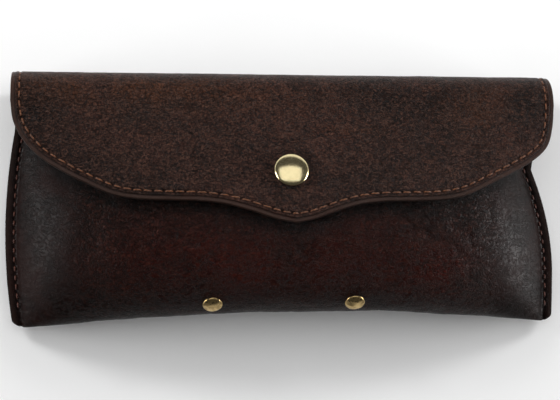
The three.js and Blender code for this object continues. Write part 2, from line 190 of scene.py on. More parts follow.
def body_surface(u, q, depth):
    """Points at u and q, depth inside the leather's outer face, one row for each."""
    half = (FLANGE_THICK + (BODY_THICK - FLANGE_THICK) * fullness(u)) / 2
    middle = back_lift(u) + half
    end = bottom_y(u) + depth
    y1 = lerp(MOUTH_Y, BULGE_Y, q / Q_FRONT)
    z1 = middle + half - depth - fullness(u) * FRONT_FALL * (y1 - BULGE_Y) ** 2
    turn = (Q_BOTTOM - q) / (Q_BOTTOM - Q_FRONT) * math.pi / 2
    y2 = BULGE_Y - (BULGE_Y - end) * np.cos(turn)
    z2 = middle + np.maximum(half - depth, 0.03) * np.sin(turn)
    turn = (q - Q_BOTTOM) / (Q_BACK - Q_BOTTOM) * math.pi / 2
    y3 = BACK_FLAT_Y - (BACK_FLAT_Y - end) * np.cos(turn)
    z3 = middle - np.maximum(half - depth, 0.03) * np.sin(turn)
    y4 = lerp(BACK_FLAT_Y, FOLD_Y, (q - Q_BACK) / (Q_FLAT - Q_BACK))
    settle = smooth((y4 - MOUTH_Y) / (FOLD_Y - MOUTH_Y))
    z4 = back_lift(u) * (1 - settle) + depth
    angle = lerp(-math.pi / 2, SPLIT, (q - Q_FLAT) / (1 - Q_FLAT))
    y5 = FOLD_Y + (FOLD_R - depth) * np.cos(angle)
    z5 = FOLD_R + (FOLD_R - depth) * np.sin(angle)
    parts = [q < Q_FRONT, q < Q_BOTTOM, q < Q_BACK, q < Q_FLAT]
    y = np.select(parts, [y1, y2, y3, y4], y5)
    z = np.select(parts, [z1, z2, z3, z4], z5)
    x = u * np.where(q < Q_FLAT, half_width(y, u < 0), FLAP_HALF)
    return np.stack([x, y, z], axis=-1)


# ---- The flap's surface: x across, s along the leather from the split ----

S_STEP, S_END = 0.25, 66.0
X_TABLE = np.linspace(-FLAP_HALF, FLAP_HALF, 141)
S_TABLE = np.arange(0, S_END, S_STEP)


def flap_section(x):
    """Y and Z along the flap's outer face in a plane at x, one for each S_TABLE."""
    rise = 1 - FLAP_DROOP * (x / FLAP_HALF) ** 2
    end = math.pi / 2 - math.atan(FLAP_SLOPE * rise)
    angles = np.linspace(SPLIT, end, 120)
    arc = np.stack([FOLD_Y + FOLD_R * np.cos(angles), FOLD_R + FOLD_R * np.sin(angles)], 1)
    low = lerp(20, FLAP_TIP[1], rise)
    ends = [
        arc[-1],
        arc[-1] + 11.2 * np.array((-1, FLAP_SLOPE * rise)),
        np.array((FLAP_TIP[0] + 13, low - 1.3 * rise)),
        np.array((FLAP_TIP[0], low)),
    ]
    t = np.linspace(0, 1.12, 300)[1:, None]
    weights = ((1 - t) ** 3, 3 * t * (1 - t) ** 2, 3 * t**2 * (1 - t), t**3)
    line = np.vstack([arc, sum(w * e for w, e in zip(weights, ends))])
    s = np.concatenate([[0], np.cumsum(np.linalg.norm(np.diff(line, axis=0), axis=1))])
    return np.stack([np.interp(S_TABLE, s, line[:, 0]), np.interp(S_TABLE, s, line[:, 1])], 1)


FLAP_TABLE = np.array([flap_section(x) for x in X_TABLE])


def flap_surface(x, s):
    """Points on the outer face, and the normals there, for arrays of x and s."""
    def place(x, s):
        i = np.clip((x + FLAP_HALF) / (2 * FLAP_HALF) * (len(X_TABLE) - 1), 0, len(X_TABLE) - 1.001)
        j = np.clip(s / S_STEP, 0, len(S_TABLE) - 1.001)
        a, b = i.astype(int), j.astype(int)
        fi, fj = (i - a)[:, None], (j - b)[:, None]
        first = lerp(FLAP_TABLE[a, b], FLAP_TABLE[a, b + 1], fj)
        second = lerp(FLAP_TABLE[a + 1, b], FLAP_TABLE[a + 1, b + 1], fj)
        return np.column_stack([x, lerp(first, second, fi)])
    here = place(x, s)
    step = 0.6
    across = place(x + step, s) - place(x - step, s)
    along = place(x, s + step) - place(x, np.maximum(0, s - step))
    normal = np.cross(along, across)
    normal /= np.linalg.norm(normal, axis=1)[:, None]
    return here, normal


def s_at(x, y):
    """How far along the leather the flap's face reaches y, on the flap's side of the fold."""
    found = []
    for one_x, one_y in zip(x, y):
        i = (one_x + FLAP_HALF) / (2 * FLAP_HALF) * (len(X_TABLE) - 1)
        a = min(int(i), len(X_TABLE) - 2)
        line = lerp(FLAP_TABLE[a, :, 0], FLAP_TABLE[a + 1, :, 0], i - a)
        past = int(np.argmax(line))
        found.append(float(np.interp(-one_y, -line[past:], S_TABLE[past:])))
    return np.array(found)


def spline(points, count):
    """Evenly spaced points along a smooth curve through points."""
    points = np.array(points, float)
    ends = np.vstack([2 * points[0] - points[1], points, 2 * points[-1] - points[-2]])
    t = np.linspace(0, 1, 40, endpoint=False)[:, None]
    line = []
    for a, b, c, d in zip(ends, ends[1:], ends[2:], ends[3:]):
        line.append(0.5 * (2 * b + (c - a) * t + (2 * a - 5 * b + 4 * c - d) * t**2
                           + (3 * b - a - 3 * c + d) * t**3))
    line = np.vstack([*line, points[-1:]])
    return even(line, count)


def even(line, count):
    s = np.concatenate([[0], np.cumsum(np.linalg.norm(np.diff(line, axis=0), axis=1))])
    at = np.linspace(0, s[-1], count)
    return np.stack([np.interp(at, s, line[:, i]) for i in range(line.shape[1])], 1)


def flap_edge(count):
    """The flap's edge as (x, s), from its left end on the split round the tip to the right."""
    shape = spline(OUTLINE, 400)
    halves = []
    for full in (0, RIGHT_FULL):
        x = shape[:, 0] + full * bump(shape[:, 1] - SHOULDER_Y, SHOULDER_SPREAD)
        lower = np.column_stack([x, s_at(x, shape[:, 1])])
        rise = np.linspace(0, lower[0, 1], 60, endpoint=False)
        side = lerp(FLAP_HALF, lower[0, 0], smooth(rise / lower[0, 1]))
        halves.append(np.vstack([np.column_stack([side, rise]), lower]))
    line = np.vstack([halves[0] * (-1, 1), halves[1][-2::-1]])
    line[:, 0] += TIP_LEAN * bump(line[:, 0], TIP_SPREAD)
    return even(line, count)


def inward(line):
    along = np.gradient(line, axis=0)
    along /= np.linalg.norm(along, axis=1)[:, None]
    return np.stack([along[:, 1], -along[:, 0]], 1)


# ---- Meshes ----

def normals_of(grid):
    """Unit normals of a grid of points (rows, columns, 3)."""
    normal = np.cross(np.gradient(grid, axis=0), np.gradient(grid, axis=1))
    length = np.linalg.norm(normal, axis=2, keepdims=True)
    return normal / np.maximum(length, 1e-9)


def shell_faces(rows, columns):
    """Quads of two grids, the second inside the first, and the walls round them."""
    half = rows * columns
    a = (np.arange(rows - 1)[:, None] * columns + np.arange(columns - 1)).ravel()
    outer = np.stack([a, a + columns, a + columns + 1, a + 1], 1)
    inner = np.stack([a, a + 1, a + columns + 1, a + columns], 1) + half
    i = np.arange(rows - 1) * columns
    j = np.arange(columns - 1)
    left = np.stack([i, i + half, i + columns + half, i + columns], 1)
    i = i + columns - 1
    right = np.stack([i, i + columns, i + columns + half, i + half], 1)
    first = np.stack([j, j + 1, j + 1 + half, j + half], 1)
    j = j + (rows - 1) * columns
    last = np.stack([j, j + half, j + 1 + half, j + 1], 1)
    return np.vstack([outer, inner, left, right, first, last])


def make_mesh(name, points, faces, material, attributes=None):
    """A smooth-shaded object from points in millimetres, before centring."""
    mesh = bpy.data.meshes.new(name)
    mesh.from_pydata(((points + SHIFT) * MM).tolist(), [], [list(map(int, f)) for f in faces])
    for label, values in (attributes or {}).items():
        made = mesh.attributes.new(label, "FLOAT", "POINT")
        made.data.foreach_set("value", np.asarray(values, np.float32).ravel())
    mesh.validate()
    mesh.shade_smooth()
    mesh.materials.append(material)
    made = bpy.data.objects.new(name, mesh)
    bpy.context.collection.objects.link(made)
    return made


def tidy_mesh(piece, sharp=35):
    """Joins points that lie on each other, turns the faces out and keeps hard corners sharp."""
    work = bmesh.new()
    work.from_mesh(piece.data)
    bmesh.ops.remove_doubles(work, verts=work.verts, dist=2e-6)
    bmesh.ops.dissolve_degenerate(work, edges=work.edges, dist=1e-7)
    bmesh.ops.recalc_face_normals(work, faces=work.faces)
    work.to_mesh(piece.data)
    work.free()
    piece.data.shade_smooth()
    piece.data.set_sharp_from_angle(angle=math.radians(sharp))
    return piece


def turned(name, profile, sides, material, origin, axis, dents=0.0, seed=0):
    """A turned piece from (radius, height) pairs, standing at origin along axis."""
    axis = np.array(axis, float) / np.linalg.norm(axis)
    side = np.cross((1, 0, 0), axis)
    side /= np.linalg.norm(side)
    other = np.cross(axis, side)
    turn = np.linspace(0, 2 * math.pi, sides, endpoint=False)
    ring = np.cos(turn)[:, None] * side + np.sin(turn)[:, None] * other
    points = [origin + r * ring + h * axis for r, h in profile]
    points = np.vstack(points)
    if dents:
        points = points + axis * (noise(points, 1.6, seed) * dents)[:, None]
    faces = []
    for i in range(len(profile) - 1):
        for j in range(sides):
            k = (j + 1) % sides
            faces.append((i * sides + j, i * sides + k, (i + 1) * sides + k, (i + 1) * sides + j))
    return tidy_mesh(make_mesh(name, points, faces, material), 50)


def rounded(profile, steps=5):
    """The profile with its corners cut by short curves."""
    profile = [np.array(p, float) for p in profile]
    made = [profile[0]]
    for a, b, c in zip(profile, profile[1:], profile[2:]):
        reach = min(0.22, 0.35 * np.linalg.norm(b - a), 0.35 * np.linalg.norm(c - b))
        start = b + (a - b) / max(np.linalg.norm(a - b), 1e-9) * reach
        end = b + (c - b) / max(np.linalg.norm(c - b), 1e-9) * reach
        for t in np.linspace(0, 1, steps):
            made.append((1 - t) ** 2 * start + 2 * t * (1 - t) * b + t**2 * end)
    return [*made, profile[-1]]


# ---- Materials ----

class Nodes:
    """A material with its shader, and short ways to add nodes to it."""

    def __init__(self, name, **sockets):
        self.material = bpy.data.materials.new(name)
        self.material.use_nodes = True
        self.tree = self.material.node_tree
        self.shader = self.tree.nodes["Principled BSDF"]
        for socket, value in sockets.items():
            self.shader.inputs[socket.replace("_", " ")].default_value = value
        self.place = self.tree.nodes.new("ShaderNodeTexCoord").outputs["Object"]

    def link(self, output, target):
        self.tree.links.new(output, target)

    def add(self, kind, settings=None, **inputs):
        node = self.tree.nodes.new("ShaderNode" + kind)
        for key, value in (settings or {}).items():
            setattr(node, key, value)
        for key, value in inputs.items():
            socket = node.inputs[key.replace("_", " ")]
            if isinstance(value, bpy.types.NodeSocket):
                self.link(value, socket)
            else:
                socket.default_value = value
        return node

    def noise(self, size, detail=3.0, rough=0.5, distort=0.0, stretch=None):
        """Noise from 0 to 1 with bumps about size millimetres across."""
        place = self.place
        if stretch:
            place = self.add("Mapping", Vector=self.place, Scale=stretch).outputs[0]
        node = self.add("TexNoise", Vector=place, Scale=1 / (size * MM), Detail=detail,
                        Roughness=rough, Distortion=distort)
        return node.outputs["Fac"]

    def cells(self, size, feature="F1"):
        warp = self.add("TexNoise", Vector=self.place, Scale=0.6 / (size * MM), Detail=2.0)
        warped = self.add("MixRGB", {"blend_type": "LINEAR_LIGHT"}, Fac=size * MM * 0.7,
                          Color1=self.place, Color2=warp.outputs["Color"])
        node = self.add("TexVoronoi", {"feature": feature}, Vector=warped.outputs[0],
                        Scale=1 / (size * MM))
        return node.outputs["Distance"]

    def attribute(self, name):
        return self.add("Attribute", {"attribute_name": name}).outputs["Fac"]

    def remap(self, value, low, high, to_low=0.0, to_high=1.0):
        node = self.add("MapRange", {"interpolation_type": "SMOOTHSTEP"})
        self.link(value, node.inputs["Value"])
        node.inputs["From Min"].default_value = low
        node.inputs["From Max"].default_value = high
        node.inputs["To Min"].default_value = to_low
        node.inputs["To Max"].default_value = to_high
        return node.outputs["Result"]

    def math(self, operation, a, b=0.0):
        node = self.add("Math", {"operation": operation})
        for socket, value in zip(node.inputs, (a, b)):
            if isinstance(value, bpy.types.NodeSocket):
                self.link(value, socket)
            else:
                socket.default_value = value
        return node.outputs[0]

    def mix(self, factor, first, second):
        """Colours first to second by a factor: tuples or sockets."""
        node = self.add("MixRGB")
        for socket, value in zip(node.inputs, (factor, first, second)):
            if isinstance(value, bpy.types.NodeSocket):
                self.link(value, socket)
            else:
                socket.default_value = value if isinstance(value, float) else (*value, 1)
        return node.outputs[0]

    def bump(self, height, millimetres, strength=1.0, under=None):
        node = self.add("Bump", Strength=strength, Distance=millimetres * MM)
        self.link(height, node.inputs["Height"])
        if under is not None:
            self.link(under, node.inputs["Normal"])
        return node.outputs["Normal"]

    def finish(self, **sockets):
        for socket, value in sockets.items():
            self.link(value, self.shader.inputs[socket.replace("_", " ")])
        return self.material


def rgb(red, green, blue):
    """A screen colour, 0 to 255, as the linear numbers a shader takes."""
    return tuple(((v / 255 + 0.055) / 1.055) ** 2.4 for v in (red, green, blue))


def oiled_leather(name, base, dark, light, warm, rough, gloss):
    """Oiled leather: fine grain with painted shade in its pits and creases and painted highlight on
    fine ridges, cloudy tone, and where the attributes say: dark tone, wear, cut edges, painted
    shadow, painted shade in grooves and painted highlight on edges.
    """
    nodes = Nodes(name, Roughness=rough, IOR=1.45)
    nodes.shader.inputs["Specular IOR Level"].default_value = gloss
    crease_shade = rgb(6, 4, 3)
    clouds = nodes.noise(20, 5, 0.6, 0.6)
    speckle = nodes.noise(0.8, 3, 0.7)
    grain = nodes.cells(1.15, "DISTANCE_TO_EDGE")
    wrinkles = nodes.noise(3.2, 5, 0.6, 1.8, (1.0, 1.3, 1.0))
    lines = nodes.math("ABSOLUTE", nodes.math("SUBTRACT", wrinkles, 0.5))
    folds = nodes.noise(2.6, 4, 0.6, 1.6, (1.0, 1.5, 1.0))
    ridge_highlight_lines = nodes.math("ABSOLUTE", nodes.math("SUBTRACT", folds, 0.56))
    loose = nodes.math("SUBTRACT", 1.0, nodes.attribute("taut"))

    def marked(value, low, high, most):
        return nodes.math("MULTIPLY", nodes.remap(value, low, high, 0.0, most), loose)

    colour = nodes.mix(nodes.remap(clouds, 0.36, 0.64), dark, base)
    colour = nodes.mix(nodes.attribute("warm"), colour, warm)
    # Near black where the mesh asks for it: dark tone in patches, darker along the bottom, and
    # painted shadow on the front under the flap.
    colour = nodes.mix(nodes.attribute("dark_tone_and_shade"), colour, rgb(4, 3, 3))
    colour = nodes.mix(marked(speckle, 0.50, 0.66, 0.36), colour, light)
    colour = nodes.mix(marked(speckle, 0.46, 0.34, 0.60), colour, rgb(7, 5, 4))
    # Painted shade in the grain's pits and along the wrinkle lines, which are also bumped.
    colour = nodes.mix(marked(grain, 0.14, 0.02, 0.70), colour, crease_shade)
    colour = nodes.mix(marked(lines, 0.026, 0.004, 0.95), colour, crease_shade)
    # Painted highlight along fine ridge lines in the light colour; the speckles above use the same
    # colour as pale tone.
    colour = nodes.mix(marked(ridge_highlight_lines, 0.024, 0.004, 0.62), colour, light)
    # Lighter where the edges are rubbed: wear, and a painted highlight on the rounded edge.
    colour = nodes.mix(nodes.attribute("edge_wear_and_highlight"), colour, rgb(54, 41, 36))
    # Dark cut edges and nicks, and painted shade in the seam grooves and in the pressed line by the
    # edge.
    colour = nodes.mix(nodes.attribute("cut_edge_and_groove_shade"), colour, rgb(16, 10, 9))
    shine = nodes.remap(nodes.noise(9, 3, 0.6), 0.3, 0.7, rough - 0.05, rough + 0.06)
    low = nodes.bump(marked(lines, 0.0, 0.06, 1.0), 0.20, 0.9)
    mid = nodes.bump(marked(grain, 0.0, 0.20, 1.0), 0.08, 0.9, low)
    fine = nodes.bump(marked(speckle, 0.2, 0.8, 1.0), 0.05, 0.9, mid)
    return nodes.finish(Base_Color=colour, Roughness=shine, Normal=fine)


def suede(name):
    nodes = Nodes(name, Roughness=0.93, Sheen_Weight=0.08, Sheen_Roughness=0.5)
    nap = nodes.noise(0.5, 4, 0.7)
    cloud = nodes.noise(12, 3, 0.6)
    colour = nodes.mix(nodes.remap(cloud, 0.3, 0.7), rgb(70, 51, 41), rgb(92, 68, 53))
    colour = nodes.mix(nodes.remap(nap, 0.35, 0.7, 0.0, 0.35), colour, rgb(122, 96, 76))
    colour = nodes.mix(nodes.attribute("cut_edge_and_groove_shade"), colour, rgb(38, 25, 21))
    return nodes.finish(Base_Color=colour, Normal=nodes.bump(nap, 0.12, 0.8))


def waxed_thread(name, bright, shaded):
    """Twisted thread: the ply runs as fine slanting bands along each stitch, painted in a lit and a
    shaded copy of the thread's colour.
    """
    nodes = Nodes(name, Roughness=0.55, Sheen_Weight=0.2)
    nodes.shader.inputs["Sheen Roughness"].default_value = 0.4
    ply = nodes.attribute("ply")
    # Painted highlight on the ply's crowns and painted shade between them; random patches take the
    # shaded colour too.
    colour = nodes.mix(nodes.remap(ply, 0.1, 0.7), shaded, bright)
    colour = nodes.mix(nodes.remap(nodes.noise(1.8, 3, 0.6), 0.42, 0.68, 0.0, 0.6), colour, shaded)
    return nodes.finish(Base_Color=colour, Normal=nodes.bump(ply, 0.10, 0.8))


def brass(name, bright, tarnish, rough, amount):
    nodes = Nodes(name, Metallic=1.0, Roughness=rough)
    patches = nodes.noise(1.5, 4, 0.65)
    scratches = nodes.noise(0.5, 3, 0.6, 0.3, (1.0, 4.0, 1.0))
    colour = nodes.mix(nodes.remap(patches, 0.45, 0.72, 0.0, amount), bright, tarnish)
    shine = nodes.remap(patches, 0.3, 0.75, rough - 0.2 * amount, rough + 0.2 * amount)
    height = nodes.bump(scratches, 0.003, 0.1, nodes.bump(patches, 0.012, amount * amount))
    return nodes.finish(Base_Color=colour, Roughness=shine, Normal=height)


# light is the pale speckle tone and also the painted highlight on the grain's ridges.
FLAP_LEATHER = oiled_leather(
    "flap_leather_finish", base=rgb(54, 33, 27), dark=rgb(36, 23, 19), light=rgb(96, 68, 57),
    warm=rgb(68, 39, 23), rough=0.38, gloss=0.11,
)
BODY_LEATHER = oiled_leather(
    "body_leather_finish", base=rgb(25, 12, 10), dark=rgb(10, 5, 4), light=rgb(74, 42, 33),
    warm=rgb(58, 14, 8), rough=0.33, gloss=0.10,
)
SUEDE = suede("suede")
# Each thread is given as a lit and a shaded copy of its colour.
FLAP_THREAD = waxed_thread("flap_thread_finish", rgb(116, 68, 34), rgb(58, 30, 14))
SIDE_THREAD = waxed_thread("side_thread_finish", rgb(92, 46, 30), rgb(44, 17, 12))
PALE_GOLD = brass("pale_gold", rgb(232, 216, 168), rgb(206, 186, 136), 0.20, 0.12)
ANTIQUE = brass("antique_brass", rgb(188, 162, 112), rgb(84, 66, 42), 0.34, 0.7)

# ---- The body: one leather piece from the mouth round to the outside of the top fold ----

EDGE_STEPS = (0, 0.05, 0.15, 0.3, 0.5, 0.8, 1.15, 1.5, 1.85, 2.15, 2.4, 2.65, 2.8, 2.95, 3.2, 3.5)


def edge_columns(count, half_mm):
    """u from -1 to 1, dense by both edges."""
    near = 1 - np.array(EDGE_STEPS) / half_mm
    rest = np.linspace(near[-1], -near[-1], count + 1)[1:-1]
    return -np.concatenate([near, rest, -near[::-1]])


def edge_round(distance, radius):
    """How far a rounded edge drops at a distance from it."""
    inside = np.clip(distance, 0, radius)
    return radius - np.sqrt(np.maximum(radius**2 - (radius - inside) ** 2, 0))


def body_rows():
    def run(a, b, count):
        return np.linspace(a, b, count, endpoint=False)
    return np.concatenate([
        run(0, Q_LIP, 3), run(Q_LIP, Q_FRONT, 66), run(Q_FRONT, Q_BOTTOM, 66),
        run(Q_BOTTOM, Q_BACK, 36), run(Q_BACK, Q_FLAT, 60), run(Q_FLAT, 1, 30), [1.0],
    ])


PITCH_SIDE = 3.0
PITCH_FLAP = 3.4
SEAM_TOP, SEAM_LOW = 23.0, -38.4


def seam_phase(y):
    return (SEAM_TOP - y) / PITCH_SIDE


def taut_share(p):
    """1 on the side slopes, where the leather is stretched smooth."""
    return smooth((np.abs(p[:, 0]) - 60) / 14)


def body_relief(p, u, q):
    """How far the body's outer face stands out of its plain shape, in millimetres."""
    edge = (1 - np.abs(u)) * BODY_HALF
    on_side = (p[:, 1] < SEAM_TOP) & (q < Q_FLAT)
    seam = np.where(on_side, bump(edge - SEAM_IN, 0.45), 0)
    holes = bump(np.mod(seam_phase(p[:, 1]) + 0.5, 1) - 0.5, 0.16)
    relief = -0.22 * seam - 0.16 * seam * holes
    loose = smooth((edge - 4) / 10)
    relief += loose * (0.40 * layered(p, 30, 3) + 0.16 * layered(p, 11, 7))
    # Puckers where the flat edge starts to rise
    pucker = bump(edge - 5.2, 1.6) * np.where(on_side, 1, 0)
    relief += pucker * 0.05 * np.cos(2 * math.pi * (seam_phase(p[:, 1]) + 0.5))
    # Fine creases over the whole front, stronger towards the lower right
    right = bump(np.hypot((p[:, 0] - 48) / 26, (p[:, 1] + 15) / 15), 1.0)
    folds = creases(p * (1, 1.5, 1), 7.0, 21)
    small = creases(p * (1, 1.2, 1), 3.4, 31)
    front = smooth((Q_BACK - q) / 0.1) * (1 - 0.8 * taut_share(p))
    relief += loose * front * (folds * (0.09 + 0.28 * right) + small * (0.06 + 0.12 * right))
    # Long soft bends that run down from the mouth
    for x, reach, depth in ((-62, 5, 0.35), (-44, 6, 0.25), (70, 4.5, 0.35), (30, 8, 0.2)):
        wander = 2.5 * noise(p * (0.0, 1, 0.0) + x, 16, 41)
        relief -= loose * front * depth * bump(p[:, 0] - x - wander, reach)
    # Short creases across the bottom corners
    for side in (-1, 1):
        corner = bump(p[:, 0] - side * 83, 5) * bump(p[:, 1] + 37.5, 3.2) * front
        relief -= 0.10 * corner * np.maximum(0, np.cos(2 * math.pi * p[:, 0] / 1.9))
    return relief


def blend_fold(piece):
    """Bakes the piece's transform into its points; nothing here bends the back of the top fold."""
    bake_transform(piece)


def blend_flap(piece):
    """Bakes the piece's transform into its points; nothing here bends the front of the top fold."""
    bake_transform(piece)


def gauss(p, x, y, rx, ry):
    return np.exp(-(((p[:, 0] - x) / rx) ** 2) - ((p[:, 1] - y) / ry) ** 2)


def make_body():
    u_line = edge_columns(300, BODY_HALF)
    q_line = body_rows()
    q, u = [a.ravel() for a in np.meshgrid(q_line, u_line, indexing="ij")]
    shape = (len(q_line), len(u_line), 3)
    edge = (1 - np.abs(u)) * BODY_HALF
    mouth = q / Q_LIP * LIP
    near_edge = np.minimum(edge, np.where(q < 0.1, mouth, 9))
    outer = body_surface(u, q, edge_round(near_edge, 0.5))
    inner = body_surface(u, q, LEATHER - edge_round(near_edge, 0.25))
    normal = normals_of(body_surface(u, q, 0).reshape(shape)).reshape(-1, 3)
    relief = body_relief(outer, u, q) * smooth(edge / 0.8)
    relief = np.where(q > Q_BACK, np.minimum(relief, np.maximum(0, outer[:, 2] - 0.05)), relief)
    outer = outer + normal * relief[:, None]
    points = np.vstack([outer, inner])
    # Painted shade in the side seam's groove; the cut edge keeps its own dark colour.
    seam = 0.6 * bump(edge - SEAM_IN, 0.45) * (outer[:, 1] < SEAM_TOP) * (q < Q_FLAT)
    cut_edge_and_groove_shade = np.concatenate([np.maximum(smooth(1 - near_edge / 0.45), seam), np.zeros(len(inner))])
    clouds = layered(outer, 14, 51) * 0.5 + 0.5
    red = (gauss(outer, -10, -20, 44, 12) + gauss(outer, 50, -24, 16, 9) * 0.7
           + gauss(outer, 5, -4, 40, 8) * 0.35)
    warm = np.minimum(0.8, red * (0.25 + 0.75 * smooth((clouds - 0.2) / 0.4))) * (q < Q_BACK)
    # Darker in blotches along the bottom.
    dark_tone_and_shade = bump(outer[:, 1] + 36, 5) * 0.4 * smooth((clouds - 0.3) / 0.5)
    # Painted shadow: the front is painted near black in a band under the flap's edge, where the
    # flap's shadow falls.
    flap_y = np.interp(np.abs(outer[:, 0]), *np.array(OUTLINE)[::-1].T)
    painted_flap_shadow = smooth((outer[:, 1] - flap_y + 6 + 2 * layered(outer, 9, 55)) / 6)
    dark_tone_and_shade = np.where(q < Q_FRONT, np.maximum(dark_tone_and_shade, painted_flap_shadow), dark_tone_and_shade)
    taut = 0.8 * taut_share(outer) * (q < Q_BOTTOM)
    # A lighter band on the rounded edge: wear, and a painted highlight.
    edge_wear_and_highlight = np.clip(0.35 * bump(edge - 0.8, 0.5), 0, 1)
    both = lambda values: np.concatenate([values, np.zeros(len(inner))])
    piece = make_mesh("pouch_leather", points, shell_faces(*shape[:2]), BODY_LEATHER, {
        "warm": both(warm), "dark_tone_and_shade": both(dark_tone_and_shade), "edge_wear_and_highlight": both(edge_wear_and_highlight), "taut": both(taut),
        "cut_edge_and_groove_shade": cut_edge_and_groove_shade,
    })
    tidy_mesh(piece, 60)
    blend_fold(piece)
    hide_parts("back_panel", "front_panel")
    return piece


# ---- The flap: leather and lining from the split to the edge ----

BAND = (0, 0.05, 0.15, 0.3, 0.5, 0.75, 1.05, 1.4, 1.75, 2.05, 2.3, 2.55, 2.8, 3.05, 3.3, 3.6,
        4.0, 4.5, 5.1, 5.8, 6.6)


def flap_grid(count, band, rows, margin=0.0):
    """(x, s) of a grid from the edge inwards to the split, and each point's distance in."""
    line = flap_edge(count)
    way = inward(line)
    distance = [np.full(count, margin + d) for d in band]
    grid = [line + way * (margin + d) for d in band]
    start = grid[-1]
    x = start[:, 0]
    base = np.column_stack([x, np.zeros(count)])
    for t in np.linspace(0, 1, rows + 1)[1:]:
        grid.append(lerp(start, base, t))
        distance.append(margin + band[-1] + t * start[:, 1])
    made = np.array(grid)
    made[..., 1] = np.maximum(made[..., 1], 0)
    return made, np.array(distance)


def run_along(line):
    """How far along the line each of its points lies."""
    return np.concatenate([[0], np.cumsum(np.linalg.norm(np.diff(line, axis=0), axis=1))])


def flap_relief(p, distance, run):
    seam = bump(distance - SEAM_IN, 0.42)
    holes = bump(np.mod(run / PITCH_FLAP + 0.5, 1) - 0.5, 0.15)
    relief = -0.24 * seam - 0.20 * seam * holes
    relief -= 0.12 * bump(distance - 1.4, 0.2) + 0.22 * smooth((1.5 - distance) / 0.4)
    inside = smooth((distance - 3.6) / 6)
    relief += inside * (0.22 * layered(p, 26, 61) + 0.05 * layered(p, 7, 65))
    relief += inside * 0.05 * creases(p * (1, 1.4, 1), 6.5, 71)
    relief += inside * 0.035 * creases(p, 3.2, 75)
    wander = 1.0 * noise(p * (0.0, 1, 0.0), 7, 81)
    # One pressed line that runs down the left of the flap
    line = bump(p[:, 0] + 31.5 - wander, 0.45) * smooth((p[:, 1] - 3) / 4)
    relief -= 0.16 * line * smooth((27 - p[:, 1]) / 6)
    # The leather is drawn down a little round the snap
    around = np.hypot(p[:, 0], p[:, 1] - SNAP_Y)
    relief -= 0.25 * bump(around - 6.2, 1.6)
    return relief


def make_flap():
    count = 460
    grid, distance = flap_grid(count, BAND, 62)
    rows = len(grid)
    x, s = grid[..., 0].ravel(), grid[..., 1].ravel()
    place, normal = flap_surface(x, s)
    run = np.tile(run_along(flap_edge(count)), rows)
    d = distance.ravel()
    relief = flap_relief(place, d, run) - edge_round(d, 0.5)
    outer = place + normal * relief[:, None]
    inner = place - normal * (LEATHER - 0.08)
    clouds = layered(place, 12, 91) * 0.5 + 0.5
    warm = (gauss(place, -56, 35, 28, 7) * 0.85 + gauss(place, 64, 29, 10, 8) * 0.75
            + gauss(place, 20, 22, 9, 1.5) * 0.6 + gauss(place, -20, 33, 30, 6) * 0.25)
    warm = warm * smooth((clouds - 0.2) / 0.45)
    dark_tone_and_shade = (gauss(place, -78, 28, 9, 6) + gauss(place, 35, 31, 20, 5)
             + gauss(place, -37, 30, 10, 3) * 0.7 + gauss(place, 80, 31, 7, 8) * 0.9)
    dark_tone_and_shade = dark_tone_and_shade * 0.75 * smooth((clouds - 0.15) / 0.5)
    nick = gauss(place, -43, 1.4, 2.4, 0.5) + gauss(place, -67, 8, 0.8, 0.8)
    # A lighter, uneven band on the rounded edge: wear, and a painted highlight.
    edge_wear_and_highlight = bump(d - 0.7, 0.55) * (0.55 + 0.3 * smooth((layered(place, 9, 95) + 0.4) / 0.8))
    # Painted shade in the pressed line near the edge and in the seam's groove.
    line = 0.75 * bump(d - 1.42, 0.16) + 0.40 * bump(d - SEAM_IN, 0.34)
    both = lambda values: np.concatenate([values, np.zeros(len(inner))])
    piece = make_mesh("flap_leather_skin", np.vstack([outer, inner]),
                      shell_faces(rows, count), FLAP_LEATHER, {
        "warm": both(warm), "dark_tone_and_shade": both(dark_tone_and_shade), "edge_wear_and_highlight": both(edge_wear_and_highlight),
        "taut": both(0.7 * smooth((1.7 - d) / 0.3)),
        "cut_edge_and_groove_shade": both(np.clip(smooth(1 - d / 0.25) * 0.5 + nick + line, 0, 1)),
    })
    tidy_mesh(piece, 60)
    blend_flap(piece)
    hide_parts("flap_leather", "spine_leather")

    grid, distance = flap_grid(300, (0, 0.15, 0.4, 0.9, 1.8, 3.2, 5.5), 40, 0.25)
    rows = len(grid)
    place, normal = flap_surface(grid[..., 0].ravel(), grid[..., 1].ravel())
    d = distance.ravel() - 0.25
    top = place - normal * (LEATHER - 0.1 + edge_round(d, 0.1))[:, None]
    fuzz = 0.05 * layered(place, 5, 101)
    under = place - normal * (LEATHER + LINING - edge_round(d, 0.35) + fuzz)[:, None]
    cut_edge_and_groove_shade = smooth(1 - d / 0.3)
    lining = make_mesh("flap_lining_skin", np.vstack([top, under]), shell_faces(rows, 300),
                       SUEDE, {"cut_edge_and_groove_shade": np.concatenate([cut_edge_and_groove_shade, cut_edge_and_groove_shade])})
    tidy_mesh(lining, 60)
    blend_flap(lining)
    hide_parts("flap_lining", "spine_lining")


